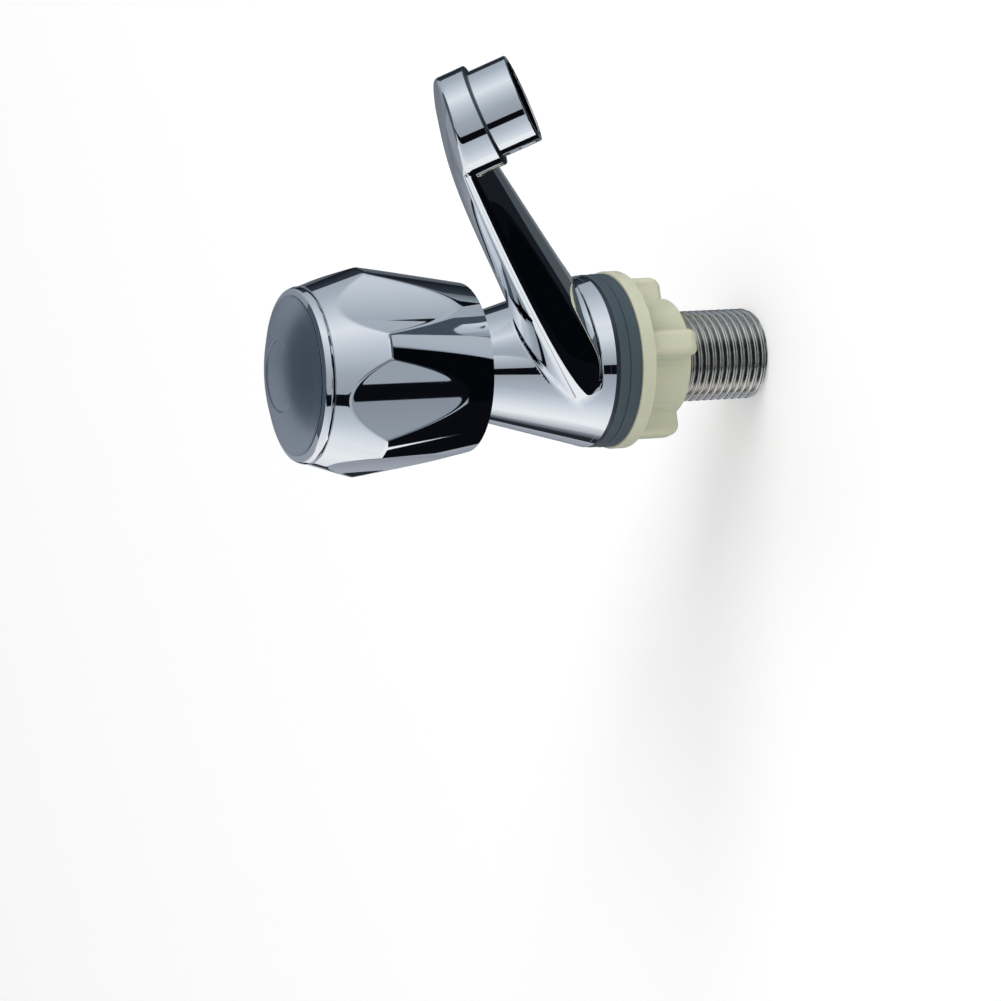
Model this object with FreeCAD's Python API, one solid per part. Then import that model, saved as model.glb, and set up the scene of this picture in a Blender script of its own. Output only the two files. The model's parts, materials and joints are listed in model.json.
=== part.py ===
import FreeCAD, Part
import math
import os
from FreeCAD import Vector

# A deck-mounted pillar tap with a fluted knob, a rising arm spout and a threaded tail.
# Sizes are in millimetres. Z runs up the valve axis, the deck surface is z = 0, the spout points along +X.

# Chromed base, whose radius the seals and the nut's flange follow
base_r = 19.65

# Seals between the tap and the deck, and the nut below it
base_washer_proud = 0.15
base_washer_r = base_r + base_washer_proud
base_washer_t = 2.6
clamp_washer_proud = 0.25
clamp_washer_r = base_r + clamp_washer_proud
clamp_washer_t = 2.85
washer_hole_gap = 0.35
washer_edge_round = 0.35

# Threaded tail
thread_r = 10.4775
thread_root_r = 9.3155
thread_pitch = 1.814
thread_tip_w = 0.2
thread_root_w = 1.62
thread_over = 0.2
tail_len = 39.8
tail_bore_r = 7.0
tail_chamfer = 0.9
tail_spigot_r = 9.9
tail_spigot_len = 8.0
thread_start = 1.4
thread_relief_len = 2.4
thread_relief_drop = 0.35
thread_bite = 0.06

# Back nut
nut_flange_proud = 0.75
nut_flange_r = base_r + nut_flange_proud
nut_flange_t = 3.4
nut_hub_r = 13.5
nut_hub_len = 12.0
nut_wing_count = 4
nut_wing_r = 18.6
nut_wing_t = 6.0
nut_wing_corner_r = 2.6
nut_wing_edge_r = 1.6
nut_wing_angle = -26.0
nut_thread_gap = 0.13
nut_thread_tip_w = 0.2
nut_thread_root_w = 1.38

# Cast body
base_rim_h = 1.0
body_h = 31.0
body_top_r = 11.1
floor_h = 12.0
seat_lip_h = 1.0
seat_web_t = 2.5
seat_bore_r = 5.75
seat_lip_w = 0.9
chamber_r = 9.2
neck_thread_r = 8.33
neck_thread_len = 8.0

# Arm of the spout, with heights above the underside of the chrome base
arm_root_x = 4.0
arm_nose_x = 80.0
arm_stations = 10
top_root_h = 15.5
top_nose_h = 59.2
top_arch_h = 1.5
ridge_root_drop = 10.9
ridge_nose_drop = 4.0
ridge_arch_h = 1.0
half_w_root = 17.2
half_w_nose = 11.0
shoulder_h = 2.9
shoulder_in = 0.9
ridge_in = 0.5
keel_root_h = 3.4
keel_start_x = 17.2
keel_slope = 0.765
keel_soft = 3.0
keel_half_root = 12.0
keel_half_nose = 5.5
keel_turn_share = 0.22
keel_flare = 4.6
keel_flare_reach = 16.0
keel_flare_turn_drop = 0.14
arm_least_h = 8.1

# Waterway inside the arm
arm_wall = 1.9
arm_wall_side = 2.6
duct_shoulder_h = 0.8
duct_start_x = 12.5
duct_end_x = 79.0
duct_stations = 7
port_r = 3.6

# Nose and outlet, measured along the tilted outlet axis
nozzle_tilt = 36.0
nose_ahead = 6.3
nose_below_top = 7.8
nose_end_past = 2.0
nose_r = 11.1
nose_reach = 20.0
nose_edge_round = 0.6
socket_r = 8.7
socket_depth = 5.2
nose_chamber_h = 2.0
nozzle_r = 9.6
nozzle_len = 8.6
nozzle_bore_r = 8.5
nozzle_throat_r = 6.6
nozzle_edge_round = 0.4
straightener_depth = 5.4
straightener_t = 3.0
straightener_ledge = 0.3
straightener_rim_w = 1.1
straightener_hub_r = 1.6
vane_count = 8
vane_t = 0.7
nozzle_washer_w = 1.9
nozzle_washer_t = 1.0

# Headworks
bonnet_washer_t = 1.0
bonnet_hex_af = 19.0
bonnet_hex_h = 6.0
bonnet_neck_r = 8.2
bonnet_neck_h = 7.0
slide_hex_af = 10.0
slide_gap = 0.06
slide_end_gap = 0.1
gland_bore_h = 7.4
gland_thread_r = 6.5
gland_hex_af = 15.0
gland_hex_h = 2.5
gland_gap = 0.05
thrust_washer_t = 0.8
thrust_washer_hole_gap = 0.3
collar_r = 6.2
collar_t = 2.4
collar_play = 0.05
stem_r = 4.0
tail_screw_r = 2.95
tail_screw_gap = 0.05
tail_screw_end = 1.9
knob_gap = 0.5
spline_len = 8.0
spline_teeth = 20
spline_depth = 0.45
spline_tip_share = 0.3
spline_foot_share = 0.7
o_ring_t = 1.4
o_ring_count = 2
o_ring_pitch = 2.5
o_ring_first = 1.6

# Jumper that opens and shuts the seat
lift = 4.5
jumper_plate_r = 7.0
jumper_plate_t = 1.9
jumper_play = 0.1
jumper_washer_r = 6.9
jumper_washer_t = 3.5
jumper_stud_r = 1.5
retainer_r = 4.6
retainer_t = 0.7
stud_nut_af = 5.5
stud_nut_t = 2.0
stud_end = 0.5

# Knob
knob_over_body = 0.2
knob_wall_t = 2.1
knob_rear_r = 19.23
knob_wide_r = 23.87
knob_wide_h = 26.0
knob_front_r = 19.85
knob_h = 37.8
knob_boss_r = 9.0
web_above_stem = 0.8
knob_web_t = 3.4
pocket_r = 12.0
lobe_count = 6
lobe_angle = 36.0
flute_cutter_r = 36.0
flute_front_r = 20.95
flute_rear_r = 20.3
rib_count = 6
rib_t = 1.8
rib_low = 0.6
insert_af = 12.0
insert_flange_r = 7.6
insert_flange_t = 1.6
insert_gap = 0.05
insert_above_stem = 0.5

# Screw, ring, cap and disc on top of the knob
screw_r = 2.0
screw_len = 11.0
screw_head_r = 3.9
screw_head_h = 2.4
screw_slot_w = 1.0
screw_slot_depth = 1.1
screw_washer_r = 4.6
screw_washer_t = 0.8
screw_hole_gap = 0.15
ring_inset = 0.15
ring_under_cap = 0.7
ring_h = 2.5
ring_crown = 0.7
cap_r = 17.9
cap_rise = 4.2
cap_seat_above_ring = 0.1
cap_skirt_gap = 0.3
cap_skirt_len = 3.4
cap_wall = 1.8
disc_r = 8.0
disc_t = 0.9
disc_sink = 0.25

# Levels worked out from the sizes above
Z_AXIS = Vector(0, 0, 1)
Y_AXIS = Vector(0, 1, 0)
ORIGIN = Vector(0, 0, 0)
base_z = base_washer_t
floor_z = base_z + floor_h
seat_z = floor_z + seat_lip_h
body_top_z = base_z + body_h
neck_z = body_top_z - neck_thread_len
port_z = (seat_z + neck_z) / 2
nut_top_z = -clamp_washer_t
nut_end_z = nut_top_z - nut_flange_t - nut_hub_len
bonnet_hex_z = body_top_z + bonnet_washer_t
bonnet_neck_z = bonnet_hex_z + bonnet_hex_h
bonnet_top_z = bonnet_neck_z + bonnet_neck_h
gland_floor_z = bonnet_top_z - gland_bore_h
collar_z = gland_floor_z + thrust_washer_t + collar_play
gland_z = collar_z + collar_t + collar_play
gland_hex_z = bonnet_top_z
boss_z = gland_hex_z + gland_hex_h + knob_gap
spline_z = boss_z + insert_flange_t
stem_top_z = spline_z + spline_len
jumper_plate_z = seat_z + jumper_washer_t
slide_z = jumper_plate_z + jumper_plate_t
slide_top_z = gland_floor_z - lift - slide_end_gap
tail_screw_z = slide_z + lift + tail_screw_end
knob_start_z = body_top_z - knob_over_body
knob_skirt_r = knob_rear_r - knob_wall_t
knob_web_z = stem_top_z + web_above_stem
knob_web_top_z = knob_web_z + knob_web_t
rib_z = boss_z + rib_low
knob_top_z = knob_start_z + knob_h
knob_wide_z = knob_start_z + knob_wide_h
ring_top_z = knob_top_z + ring_h
cap_z = ring_top_z + cap_seat_above_ring
ring_outer_r = knob_front_r - ring_inset
ring_inner_r = cap_r - ring_under_cap
cap_skirt_r = ring_inner_r - cap_skirt_gap
cap_plug_z = knob_top_z - cap_skirt_len
nose_rim = Vector(arm_nose_x + nose_ahead, 0, base_z + top_nose_h - nose_below_top)
arm_end_x = nose_rim.x + nose_end_past
nozzle_spigot_len = socket_depth - nozzle_washer_t


def disc(r, z0, z1):
    """A round bar about the valve axis, from one height to another."""
    return Part.makeCylinder(r, z1 - z0, Vector(0, 0, z0))


def ring(r_out, r_in, z0, z1):
    """A flat ring about the valve axis."""
    return disc(r_out, z0, z1).cut(disc(r_in, z0, z1))


def soft_ring(r_out, r_in, z0, z1, edge):
    """A moulded ring with its two outer edges rounded."""
    blank = disc(r_out, z0, z1)
    blank = blank.makeFillet(edge, [e for e in blank.Edges if is_circle(e, r_out)])
    return blank.cut(disc(r_in, z0, z1))


def is_circle(edge, r):
    """Tells whether an edge is a full circle of this radius."""
    curve = edge.Curve
    return isinstance(curve, Part.Circle) and abs(curve.Radius - r) < 1e-6


def lathe(outline):
    """Turns a closed outline of (radius, height) points about the valve axis."""
    points = [Vector(r, 0, z) for r, z in outline]
    wire = Part.makePolygon(points + [points[0]])
    return Part.Face(wire).revolve(ORIGIN, Z_AXIS, 360)


def hex_bar(af, z0, z1):
    """A hexagon bar about the valve axis, given by its width across flats."""
    corner_r = af / 2 / math.cos(math.pi / 6)
    turns = [math.radians(60 * i) for i in range(6)]
    points = [Vector(corner_r * math.cos(a), corner_r * math.sin(a), z0) for a in turns]
    wire = Part.makePolygon(points + [points[0]])
    return Part.Face(wire).extrude(Vector(0, 0, z1 - z0))


def fuse_all(shapes):
    """Joins a list of solids into one."""
    whole = shapes[0]
    for shape in shapes[1:]:
        whole = whole.fuse(shape)
    return whole


def turned(shape, angle):
    """A copy of a shape, turned about the valve axis."""
    copy = shape.copy()
    copy.rotate(ORIGIN, Z_AXIS, angle)
    return copy


def around(shape, count, start=0.0):
    """Copies of a shape, evenly spaced about the valve axis."""
    return [turned(shape, start + 360.0 * i / count) for i in range(count)]


def on_nozzle(shape):
    """Moves a shape from its own frame, +Z out of the mouth, to the outlet at the nose's rim."""
    placed = shape.copy()
    placed.rotate(ORIGIN, Y_AXIS, 180.0 - nozzle_tilt)
    placed.translate(nose_rim)
    return placed


def thread_ridge(base_r, tip_r, base_w, tip_w, low_z, high_z, shift=0.0):
    """A helical ridge, in step with every other ridge of the same pitch; shift moves it along the axis."""
    first = math.ceil((low_z - shift) / thread_pitch) * thread_pitch + shift
    length = high_z - first
    path = Part.makeHelix(thread_pitch, length, base_r)
    corners = [(base_r, -base_w), (tip_r, -tip_w), (tip_r, tip_w), (base_r, base_w)]
    points = [Vector(r, 0, half / 2) for r, half in corners]
    section = Part.makePolygon(points + [points[0]])
    ridge = Part.Wire(path.Edges).makePipeShell([section], True, True)
    ridge.translate(Vector(0, 0, first))
    return ridge


def make_base_washer():
    """The flat rubber ring between the chrome base and the deck."""
    hole = thread_r + washer_hole_gap
    return soft_ring(base_washer_r, hole, 0, base_washer_t, washer_edge_round)


def make_clamp_washer():
    """The flat rubber ring that goes under the deck, on top of the back nut."""
    hole = thread_r + washer_hole_gap
    return soft_ring(clamp_washer_r, hole, -clamp_washer_t, 0, washer_edge_round)


def make_inlet_tail():
    """The threaded tail, held in the body by a plain spigot; a relief splits the thread under the nut."""
    relief_low = nut_end_z - thread_relief_drop
    relief_high = relief_low + thread_relief_len
    half = thread_root_w / 2
    root = thread_root_r - thread_bite
    tip = thread_r + thread_over
    lower = thread_ridge(root, tip, thread_root_w, thread_tip_w, -tail_len + half, relief_low - half)
    upper = thread_ridge(root, tip, thread_root_w, thread_tip_w, relief_high + half, -thread_start)
    core = disc(thread_root_r, -tail_len, base_z)
    neck = disc(thread_r, -thread_start, base_z)
    rough = fuse_all([core, lower, upper])
    end = -tail_len + tail_chamfer
    outline = [(0, -tail_len), (thread_r - tail_chamfer, -tail_len), (thread_r, end), (thread_r, base_z)]
    blank = lathe(outline + [(0, base_z)])
    trimmed = rough.common(blank)
    spigot = disc(tail_spigot_r, base_z, base_z + tail_spigot_len)
    whole = fuse_all([trimmed, neck, spigot])
    return whole.cut(disc(tail_bore_r, -tail_len, base_z + tail_spigot_len))


def nut_wing():
    """One grip wing of the back nut, a rounded plate that stands out along +X."""
    length = nut_hub_len + nut_flange_t
    plate = Part.makeBox(nut_wing_r, nut_wing_t, length, Vector(0, -nut_wing_t / 2, nut_end_z))
    def at_tip(edge):
        middle = edge.CenterOfMass
        return abs(middle.x - nut_wing_r) < 1e-6 and abs(middle.z - nut_end_z) < 1e-6
    plate = plate.makeFillet(nut_wing_corner_r, [e for e in plate.Edges if at_tip(e)])
    def outer(edge):
        middle = edge.CenterOfMass
        return abs(abs(middle.y) - nut_wing_t / 2) < 1e-6 and middle.x > nut_hub_r
    return plate.makeFillet(nut_wing_edge_r, [e for e in plate.Edges if outer(e)])


def make_back_nut():
    """The plastic back nut: a flange, a hub with wings, and a real thread that runs on the tail's."""
    bore = thread_r + nut_thread_gap
    flange = disc(nut_flange_r, nut_top_z - nut_flange_t, nut_top_z)
    flange = flange.makeFillet(washer_edge_round, [e for e in flange.Edges if is_circle(e, nut_flange_r)])
    hub = disc(nut_hub_r, nut_end_z, nut_top_z)
    hub_rims = [e for e in hub.Edges if is_circle(e, nut_hub_r)]
    low_rims = [e for e in hub_rims if e.CenterOfMass.z < nut_top_z - nut_flange_t]
    hub = hub.makeFillet(washer_edge_round, low_rims)
    wings = around(nut_wing(), nut_wing_count, nut_wing_angle)
    blank = fuse_all([flange, hub] + wings).cut(disc(bore, nut_end_z, nut_top_z))
    half = nut_thread_root_w / 2
    ridge = thread_ridge(
        bore + thread_bite,
        thread_root_r + nut_thread_gap,
        nut_thread_root_w,
        nut_thread_tip_w,
        nut_end_z + half,
        nut_top_z - half,
        thread_pitch / 2,
    )
    return blank.fuse(ridge)


def top_height(x):
    """Height of the arm's crown line above the chrome base: a straight rise with an arch near the nose."""
    t = (x - arm_root_x) / (arm_nose_x - arm_root_x)
    peak = 27 / 256
    return top_root_h + (top_nose_h - top_root_h) * t + top_arch_h / peak * t**3 * (1 - t)


def ridge_height(x):
    """Height of the arm's side ridge above the chrome base."""
    t = (x - arm_root_x) / (arm_nose_x - arm_root_x)
    root = top_root_h - ridge_root_drop
    nose = top_nose_h - ridge_nose_drop
    line = root + (nose - root) * t + ridge_arch_h * 4 * t * (1 - t)
    return min(line, top_height(x) - ridge_nose_drop)


def keel_height(x):
    """Height of the arm's underside: level beside the base, then a straight rise."""
    d = x - keel_start_x
    line = keel_root_h + keel_slope * (d + math.sqrt(d * d + keel_soft**2)) / 2
    return min(line, top_height(x) - arm_least_h)


def tapered(root, nose, x):
    """A size that changes evenly from the arm's root to its nose."""
    t = min((x - arm_root_x) / (arm_nose_x - arm_root_x), 1.0)
    return root + (nose - root) * t


def root_flare(x):
    """How much of the flare, which widens the arm's underside where it leaves the column, is left at a reach."""
    return math.exp(-(((x - arm_root_x) / keel_flare_reach) ** 2))


def arm_section(x, wall=0.0, side=0.0, shoulder=shoulder_h):
    """The arm's section across X: a crowned top, rounded shoulders, leaning flanks and a narrow keel."""
    rise = wall * math.sqrt(1 + keel_slope**2)
    top = base_z + top_height(x) - rise
    ridge = base_z + ridge_height(x)
    keel = base_z + keel_height(x) + rise
    half = tapered(half_w_root, half_w_nose, x) - side
    keel_half = tapered(keel_half_root, keel_half_nose, x) + keel_flare * root_flare(x) - side
    turn = keel + (ridge - keel) * (keel_turn_share - keel_flare_turn_drop * root_flare(x))
    edge_y = half - shoulder_in
    crown = [Vector(x, -edge_y, ridge + shoulder), Vector(x, 0, top), Vector(x, edge_y, ridge + shoulder)]
    right = [crown[2], Vector(x, half, ridge + shoulder / 2), Vector(x, half - ridge_in, ridge)]
    left = [Vector(x, -half + ridge_in, ridge), Vector(x, -half, ridge + shoulder / 2), crown[0]]
    under = [Vector(x, keel_half, turn), Vector(x, 0, keel), Vector(x, -keel_half, turn)]
    edges = [
        Part.Arc(*crown).toShape(),
        Part.Arc(*right).toShape(),
        Part.LineSegment(right[2], under[0]).toShape(),
        Part.Arc(*under).toShape(),
        Part.LineSegment(under[2], left[0]).toShape(),
        Part.Arc(*left).toShape(),
    ]
    return Part.Wire(edges)


def arm_loft(x0, x1, stations, **insets):
    """Skins the arm's sections from one reach to another."""
    reaches = [x0 + (x1 - x0) * i / (stations - 1) for i in range(stations)]
    return Part.makeLoft([arm_section(x, **insets) for x in reaches], True, False)


def make_arm():
    """The arm from the column to the nose: it stays above the rim and ends on the nose's round wall."""
    reach = arm_end_x + base_r
    behind = Part.makeBox(reach, 2 * reach, reach, Vector(0, -reach, -reach))
    space = on_nozzle(behind.cut(disc(nose_r, -reach, 0)))
    return arm_loft(arm_root_x, arm_end_x, arm_stations).common(space)


def roof_section(x):
    """A section across X with the arm's crown, made wider than the nose and closed far below it."""
    half = tapered(half_w_root, half_w_nose, x) - shoulder_in
    top = base_z + top_height(x)
    sag = top - base_z - ridge_height(x) - shoulder_h
    crown_r = (half**2 + sag**2) / (2 * sag)
    wide = nose_r + shoulder_in
    side = top - crown_r + math.sqrt(crown_r**2 - wide**2)
    left = Vector(x, -wide, side)
    right = Vector(x, wide, side)
    low = [Vector(x, wide, base_z), Vector(x, -wide, base_z)]
    edges = [Part.Arc(left, Vector(x, 0, top), right).toShape()]
    corners = [right] + low + [left]
    edges += [Part.LineSegment(a, b).toShape() for a, b in zip(corners, corners[1:])]
    return Part.Wire(edges)


def make_nose():
    """The round nose, rounded at its rim and capped by the arm's crown."""
    wall = disc(nose_r, -nose_reach, 0)
    rim = [e for e in wall.Edges if e.CenterOfMass.z > -nose_edge_round]
    wall = wall.makeFillet(nose_edge_round, rim)
    stations = [arm_nose_x - nose_r, arm_nose_x, arm_end_x, arm_end_x + nose_r]
    roof = Part.makeLoft([roof_section(x) for x in stations], True, False)
    return on_nozzle(wall).common(roof)


def make_tap_body():
    """The chromed casting: a tapered column, the arm and the nose, with its waterway and valve seat."""
    rim_z = base_z + base_rim_h
    outline = [(0, base_z), (base_r, base_z), (base_r, rim_z), (body_top_r, body_top_z), (0, body_top_z)]
    casting = fuse_all([lathe(outline), make_arm(), make_nose()])
    insets = {"wall": arm_wall, "side": arm_wall_side, "shoulder": duct_shoulder_h}
    duct = arm_loft(duct_start_x, duct_end_x, duct_stations, **insets)
    port = Part.makeCylinder(port_r, duct_start_x + port_r, Vector(0, 0, port_z), Vector(1, 0, 0))
    socket = disc(socket_r, -socket_depth, 0)
    chamber = disc(nozzle_throat_r, -socket_depth - nose_chamber_h, 0)
    bores = [
        disc(tail_spigot_r, base_z, base_z + tail_spigot_len),
        disc(tail_bore_r, base_z, floor_z - seat_web_t),
        disc(seat_bore_r, base_z, seat_z),
        ring(chamber_r, seat_bore_r + seat_lip_w, floor_z, seat_z),
        disc(chamber_r, seat_z, neck_z),
        disc(neck_thread_r, neck_z, body_top_z),
        duct,
        port,
        on_nozzle(socket),
        on_nozzle(chamber),
    ]
    for bore in bores:
        casting = casting.cut(bore)
    return casting


def make_outlet_nozzle():
    """The chromed outlet sleeve, whose spigot is held in the nose's socket."""
    inside = straightener_depth + straightener_t
    outside = disc(nozzle_r, 0, nozzle_len)
    rim = [e for e in outside.Edges if is_circle(e, nozzle_r) and e.CenterOfMass.z > nozzle_len / 2]
    outside = outside.makeFillet(nozzle_edge_round, rim)
    sleeve = outside.fuse(disc(socket_r, -nozzle_spigot_len, 0))
    sleeve = sleeve.cut(disc(nozzle_bore_r, nozzle_len - straightener_depth, nozzle_len))
    sleeve = sleeve.cut(disc(nozzle_bore_r - straightener_ledge, nozzle_len - inside, nozzle_len))
    return on_nozzle(sleeve.cut(disc(nozzle_throat_r, -nozzle_spigot_len, nozzle_len)))


def make_nozzle_washer():
    """The flat seal between the outlet sleeve and the floor of its socket."""
    return on_nozzle(ring(socket_r, socket_r - nozzle_washer_w, -socket_depth, -nozzle_spigot_len))


def make_flow_straightener():
    """The plastic insert whose vanes smooth the stream: a rim, a hub and blades between them."""
    low = nozzle_len - straightener_depth - straightener_t
    high = low + straightener_t
    rim_r = nozzle_bore_r - straightener_ledge
    rim = ring(rim_r, rim_r - straightener_rim_w, low, high)
    hub = disc(straightener_hub_r, low, high)
    reach = rim_r - straightener_rim_w / 2
    blade = Part.makeBox(reach, vane_t, straightener_t, Vector(0, -vane_t / 2, low))
    return on_nozzle(fuse_all([rim, hub] + around(blade, vane_count)))


def make_bonnet_washer():
    """The fibre ring that seals the headworks on the body's rim."""
    return ring(body_top_r, neck_thread_r, body_top_z, bonnet_hex_z)


def make_bonnet():
    """The brass headworks body: a threaded skirt, a hexagon, and a neck with a way for the jumper."""
    skirt = disc(neck_thread_r, neck_z, bonnet_hex_z)
    hexagon = hex_bar(bonnet_hex_af, bonnet_hex_z, bonnet_neck_z)
    neck = disc(bonnet_neck_r, bonnet_neck_z, bonnet_top_z)
    way = hex_bar(slide_hex_af + 2 * slide_gap, neck_z, gland_floor_z)
    return fuse_all([skirt, hexagon, neck]).cut(way).cut(disc(gland_thread_r, gland_floor_z, bonnet_top_z))


def make_thrust_washer():
    """The low-friction ring under the spindle's collar."""
    hole = tail_screw_r + thrust_washer_hole_gap
    return ring(gland_thread_r, hole, gland_floor_z, gland_floor_z + thrust_washer_t)


def make_gland_nut():
    """The gland that holds the spindle down, and whose bore the spindle's rings seal."""
    thread = disc(gland_thread_r, gland_z, gland_hex_z)
    head = hex_bar(gland_hex_af, gland_hex_z, gland_hex_z + gland_hex_h)
    return thread.fuse(head).cut(disc(stem_r + gland_gap, gland_z, gland_hex_z + gland_hex_h))


def o_ring_heights():
    """Where the spindle's sealing rings sit in the gland."""
    return [gland_z + o_ring_first + i * o_ring_pitch for i in range(o_ring_count)]


def spline_bar(r_tip, depth, z0, z1):
    """A bar with straight splines, whose teeth and gaps are equally wide at mid depth."""
    step = 2 * math.pi / spline_teeth
    rising = [(-spline_foot_share, r_tip - depth), (-spline_tip_share, r_tip)]
    tooth = rising + [(-share, r) for share, r in reversed(rising)]
    points = []
    for i in range(spline_teeth):
        for share, r in tooth:
            a = (i + share / 2) * step
            points.append(Vector(r * math.cos(a), r * math.sin(a), z0))
    wire = Part.makePolygon(points + [points[0]])
    return Part.Face(wire).extrude(Vector(0, 0, z1 - z0))


def make_spindle():
    """The brass spindle: a tail screw, a collar, a stem with two grooves, splines and a tapped end."""
    solid = fuse_all([
        disc(tail_screw_r, tail_screw_z, collar_z),
        disc(collar_r, collar_z, collar_z + collar_t),
        disc(stem_r, collar_z + collar_t, spline_z),
        spline_bar(stem_r, spline_depth, spline_z, stem_top_z),
    ])
    for z in o_ring_heights():
        solid = solid.cut(ring(stem_r, stem_r - o_ring_t, z - o_ring_t / 2, z + o_ring_t / 2))
    return solid.cut(disc(screw_r, stem_top_z - screw_len, stem_top_z))


def make_spindle_o_rings():
    """The two rubber rings in the spindle's grooves."""
    centre_r = stem_r - o_ring_t / 2
    rings = [Part.makeTorus(centre_r, o_ring_t / 2, Vector(0, 0, z)) for z in o_ring_heights()]
    return Part.makeCompound(rings)


def make_jumper():
    """The brass jumper: a hexagon slide with a blind screw bore, a plate and a stud for the washer."""
    slide = hex_bar(slide_hex_af, slide_z, slide_top_z)
    plate = disc(jumper_plate_r, jumper_plate_z, slide_z)
    stud_low = seat_z - retainer_t - stud_nut_t - stud_end
    stud = disc(jumper_stud_r, stud_low, jumper_plate_z)
    bore = disc(tail_screw_r + tail_screw_gap, slide_z + jumper_play, slide_top_z)
    return fuse_all([slide, plate, stud]).cut(bore)


def make_jumper_washer():
    """The rubber washer that shuts on the seat."""
    return ring(jumper_washer_r, jumper_stud_r, seat_z, jumper_plate_z)


def make_washer_retainer():
    """The small brass plate that holds the rubber washer."""
    return ring(retainer_r, jumper_stud_r, seat_z - retainer_t, seat_z)


def make_jumper_nut():
    """The small nut on the jumper's stud."""
    high = seat_z - retainer_t
    return hex_bar(stud_nut_af, high - stud_nut_t, high).cut(disc(jumper_stud_r, high - stud_nut_t, high))


def knob_blank():
    """The knob turned as one shape: a barrel that widens upwards and a crown that narrows to the top."""
    return lathe([
        (0, knob_start_z),
        (knob_rear_r, knob_start_z),
        (knob_wide_r, knob_wide_z),
        (knob_front_r, knob_top_z),
        (0, knob_top_z),
    ])


def flute_cutter():
    """A long round bar beside the knob, leaning a little, that scoops one flute."""
    lean = math.atan2(flute_front_r - flute_rear_r, knob_h)
    reach = 2 * knob_h
    foot = Vector(flute_rear_r + flute_cutter_r - reach * math.sin(lean) / 4, 0, knob_start_z - reach / 4)
    along = Vector(math.sin(lean), 0, math.cos(lean))
    return Part.makeCylinder(flute_cutter_r, reach, foot, along)


def make_knob():
    """The chromed knob: six flutes outside; a skirt, a ribbed boss and a screw pocket inside."""
    solid = knob_blank()
    for cutter in around(flute_cutter(), lobe_count, lobe_angle + 180.0 / lobe_count):
        solid = solid.cut(cutter)
    hollow = disc(knob_skirt_r, knob_start_z, knob_web_z)
    hollow = hollow.cut(disc(knob_boss_r, boss_z, knob_web_z))
    rib = Part.makeBox(knob_skirt_r, rib_t, knob_web_z - rib_z, Vector(0, -rib_t / 2, rib_z))
    hollow = hollow.cut(fuse_all(around(rib, rib_count, lobe_angle)))
    solid = solid.cut(hollow)
    solid = solid.cut(disc(insert_flange_r, boss_z, spline_z))
    solid = solid.cut(hex_bar(insert_af, spline_z, knob_web_z))
    solid = solid.cut(disc(screw_r + screw_hole_gap, knob_web_z, knob_web_top_z))
    solid = solid.cut(disc(pocket_r, knob_web_top_z, knob_top_z))
    return solid.cut(disc(cap_skirt_r, cap_plug_z, knob_top_z))


def make_spline_insert():
    """The bush pressed in the knob's boss, whose inside splines take the spindle's."""
    flange = disc(insert_flange_r, boss_z, spline_z)
    shank = hex_bar(insert_af, spline_z, knob_web_z)
    teeth = spline_bar(stem_r + insert_gap, spline_depth, spline_z, stem_top_z + insert_above_stem)
    mouth = disc(stem_r + insert_gap, boss_z, spline_z)
    screw_way = disc(screw_r + screw_hole_gap, stem_top_z, knob_web_z)
    return flange.fuse(shank).cut(teeth).cut(mouth).cut(screw_way)


def make_screw_washer():
    """The plain washer under the handle screw's head."""
    return ring(screw_washer_r, screw_r + screw_hole_gap, knob_web_top_z, knob_web_top_z + screw_washer_t)


def make_handle_screw():
    """The slotted screw that pulls the knob down on the spindle."""
    seat = knob_web_top_z + screw_washer_t
    head = disc(screw_head_r, seat, seat + screw_head_h)
    shank = disc(screw_r, stem_top_z - screw_len + screw_hole_gap, seat)
    slot = Part.makeBox(2 * screw_head_r, screw_slot_w, screw_slot_depth)
    slot.translate(Vector(-screw_head_r, -screw_slot_w / 2, seat + screw_head_h - screw_slot_depth))
    return head.fuse(shank).cut(slot)


def make_cap_ring():
    """The bright bead round the cap: a narrow ring with a rounded, sloping face."""
    low = Vector(ring_outer_r, 0, knob_top_z)
    high = Vector(cap_r, 0, ring_top_z)
    middle = (low + high) / 2 + Vector(ring_crown, 0, ring_crown)
    inner = [Vector(ring_inner_r, 0, ring_top_z), Vector(ring_inner_r, 0, knob_top_z)]
    edges = [Part.Arc(low, middle, high).toShape()]
    corners = [high] + inner + [low]
    edges += [Part.LineSegment(a, b).toShape() for a, b in zip(corners, corners[1:])]
    return Part.Face(Part.Wire(edges)).revolve(ORIGIN, Z_AXIS, 360)


def cap_sphere_r():
    """Radius of the dome that has the cap's width and rise."""
    return (cap_r**2 + cap_rise**2) / (2 * cap_rise)


def dome(r, rise_from, drop):
    """The part of the cap's ball, lowered by drop, that lies in a round bar above a height."""
    ball_r = cap_sphere_r()
    ball = Part.makeSphere(ball_r, Vector(0, 0, cap_z + cap_rise - ball_r - drop))
    return ball.common(disc(r, rise_from, cap_z + cap_rise + 1))


def make_cap():
    """The satin domed cap, which plugs into the top of the knob, with a shallow round seat on top."""
    plug = disc(cap_skirt_r, cap_plug_z, cap_z)
    shell = dome(cap_r, cap_z, 0).fuse(plug)
    hollow = disc(cap_skirt_r - cap_wall, cap_plug_z, cap_z)
    sunk = disc(disc_r, cap_z, cap_z + cap_rise + 1).cut(dome(disc_r, cap_z, disc_sink + disc_t))
    return shell.cut(hollow).cut(sunk)


def make_cap_disc():
    """The plain round disc let into the cap."""
    return dome(disc_r, cap_z, disc_sink).cut(dome(disc_r, cap_z, disc_sink + disc_t))


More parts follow.
